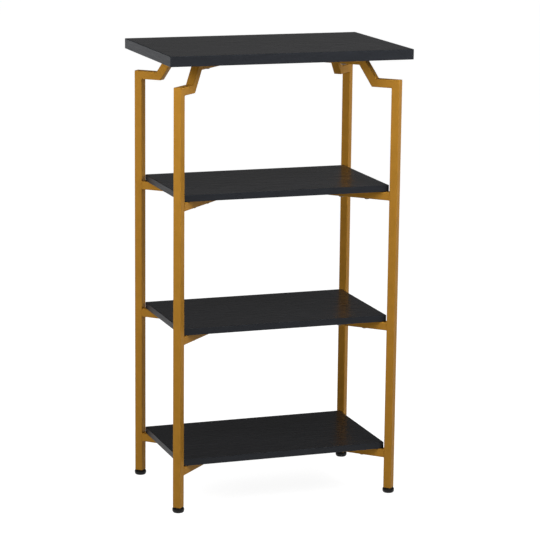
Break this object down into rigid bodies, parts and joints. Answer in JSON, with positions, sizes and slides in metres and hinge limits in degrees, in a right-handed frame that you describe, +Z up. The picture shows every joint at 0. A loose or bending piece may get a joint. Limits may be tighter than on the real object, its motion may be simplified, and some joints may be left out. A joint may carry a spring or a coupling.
{
  "type": "tiered shelf",
  "caption": "Open standing shelf: square tube legs with stepped necks carry an overhanging top panel and inset shelves on diagonal arms, with screw-in levelling feet.",
  "frame": {"origin": "on the floor, under the middle of the shelf", "axes": "+Z up, +X along the long side to the right, -Y towards the front"},
  "size_m": [0.6, 0.386, 1.095],
  "materials": {
    "gold_paint": "satin gold paint",
    "black_board": "satin black wood-effect board with a faint grain along its length",
    "plated_steel": "nickel plated",
    "black_plastic": "moulded black"
  },
  "bodies": {
    "frame": {"top_panel": "black_board", "upper_shelf": "black_board", "middle_shelf": "black_board", "lower_shelf": "black_board", "leg_front_left": "gold_paint", "leg_front_right": "gold_paint", "leg_back_left": "gold_paint", "leg_back_right": "gold_paint", "upper_arm_front_left": "gold_paint", "upper_arm_front_right": "gold_paint", "upper_arm_back_left": "gold_paint", "upper_arm_back_right": "gold_paint", "middle_arm_front_left": "gold_paint", "middle_arm_front_right": "gold_paint", "middle_arm_back_left": "gold_paint", "middle_arm_back_right": "gold_paint", "lower_arm_front_left": "gold_paint", "lower_arm_front_right": "gold_paint", "lower_arm_back_left": "gold_paint", "lower_arm_back_right": "gold_paint", "top_screw_front_left": "plated_steel", "top_screw_front_right": "plated_steel", "top_screw_back_left": "plated_steel", "top_screw_back_right": "plated_steel", "upper_outer_screw_front_left": "plated_steel", "upper_outer_screw_front_right": "plated_steel", "upper_outer_screw_back_left": "plated_steel", "upper_outer_screw_back_right": "plated_steel", "upper_inner_screw_front_left": "plated_steel", "upper_inner_screw_front_right": "plated_steel", "upper_inner_screw_back_left": "plated_steel", "upper_inner_screw_back_right": "plated_steel", "middle_outer_screw_front_left": "plated_steel", "middle_outer_screw_front_right": "plated_steel", "middle_outer_screw_back_left": "plated_steel", "middle_outer_screw_back_right": "plated_steel", "middle_inner_screw_front_left": "plated_steel", "middle_inner_screw_front_right": "plated_steel", "middle_inner_screw_back_left": "plated_steel", "middle_inner_screw_back_right": "plated_steel", "lower_outer_screw_front_left": "plated_steel", "lower_outer_screw_front_right": "plated_steel", "lower_outer_screw_back_left": "plated_steel", "lower_outer_screw_back_right": "plated_steel", "lower_inner_screw_front_left": "plated_steel", "lower_inner_screw_front_right": "plated_steel", "lower_inner_screw_back_left": "plated_steel", "lower_inner_screw_back_right": "plated_steel", "foot_plug_front_left": "black_plastic", "foot_plug_front_right": "black_plastic", "foot_plug_back_left": "black_plastic", "foot_plug_back_right": "black_plastic"},
    "stud_front_left": {"foot_stud_front_left": "plated_steel"},
    "pad_front_left": {"foot_pad_front_left": "black_plastic"},
    "stud_front_right": {"foot_stud_front_right": "plated_steel"},
    "pad_front_right": {"foot_pad_front_right": "black_plastic"},
    "stud_back_left": {"foot_stud_back_left": "plated_steel"},
    "pad_back_left": {"foot_pad_back_left": "black_plastic"},
    "stud_back_right": {"foot_stud_back_right": "plated_steel"},
    "pad_back_right": {"foot_pad_back_right": "black_plastic"}
  },
  "joints": [
    {"name": "foot_height_front_left", "type": "slide", "parent": "frame", "child": "stud_front_left", "axis": [0, 0, -1], "range_m": [0, 0.01]},
    {"name": "foot_turn_front_left", "type": "hinge", "parent": "stud_front_left", "child": "pad_front_left", "pos_m": [-0.27, -0.163, 0.005], "axis": [0, 0, -1], "continuous": true},
    {"name": "foot_height_front_right", "type": "slide", "parent": "frame", "child": "stud_front_right", "axis": [0, 0, -1], "range_m": [0, 0.01]},
    {"name": "foot_turn_front_right", "type": "hinge", "parent": "stud_front_right", "child": "pad_front_right", "pos_m": [0.27, -0.163, 0.005], "axis": [0, 0, -1], "continuous": true},
    {"name": "foot_height_back_left", "type": "slide", "parent": "frame", "child": "stud_back_left", "axis": [0, 0, -1], "range_m": [0, 0.01]},
    {"name": "foot_turn_back_left", "type": "hinge", "parent": "stud_back_left", "child": "pad_back_left", "pos_m": [-0.27, 0.163, 0.005], "axis": [0, 0, -1], "continuous": true},
    {"name": "foot_height_back_right", "type": "slide", "parent": "frame", "child": "stud_back_right", "axis": [0, 0, -1], "range_m": [0, 0.01]},
    {"name": "foot_turn_back_right", "type": "hinge", "parent": "stud_back_right", "child": "pad_back_right", "pos_m": [0.27, 0.163, 0.005], "axis": [0, 0, -1], "continuous": true}
  ]
}
